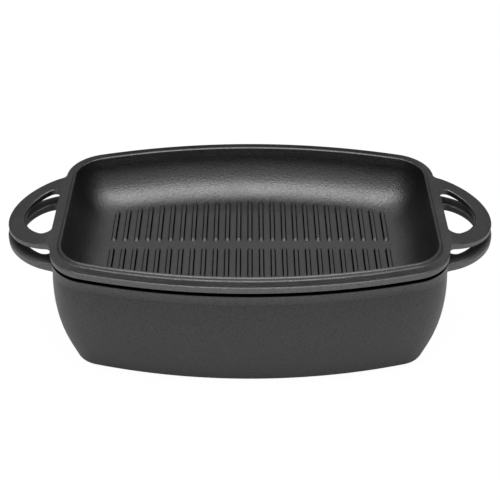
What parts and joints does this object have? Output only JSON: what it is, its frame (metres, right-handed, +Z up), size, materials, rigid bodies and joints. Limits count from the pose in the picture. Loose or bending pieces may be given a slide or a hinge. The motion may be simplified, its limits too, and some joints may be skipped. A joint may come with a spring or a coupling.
{
  "type": "cast iron grill pan with roaster base",
  "caption": "Shallow ribbed cast iron grill pan with loop handles, seated in the mouth of a deep rectangular roaster base with matching loop handles.",
  "frame": {"origin": "on the table, under the middle of the base", "axes": "+X along the length towards the right handle, +Y towards the back long side, +Z up out of the pan"},
  "size_m": [0.4074, 0.2178, 0.1095],
  "materials": {
    "cast_iron": "black seasoned sand casting, satin"
  },
  "bodies": {
    "base": {"roaster_base": "cast_iron"},
    "pan": {"grill_pan": "cast_iron"}
  },
  "joints": [
    {"name": "grill_pan_lift", "type": "slide", "parent": "base", "child": "pan", "axis": [0, 0, 1], "range_m": [0, 0.12]}
  ]
}
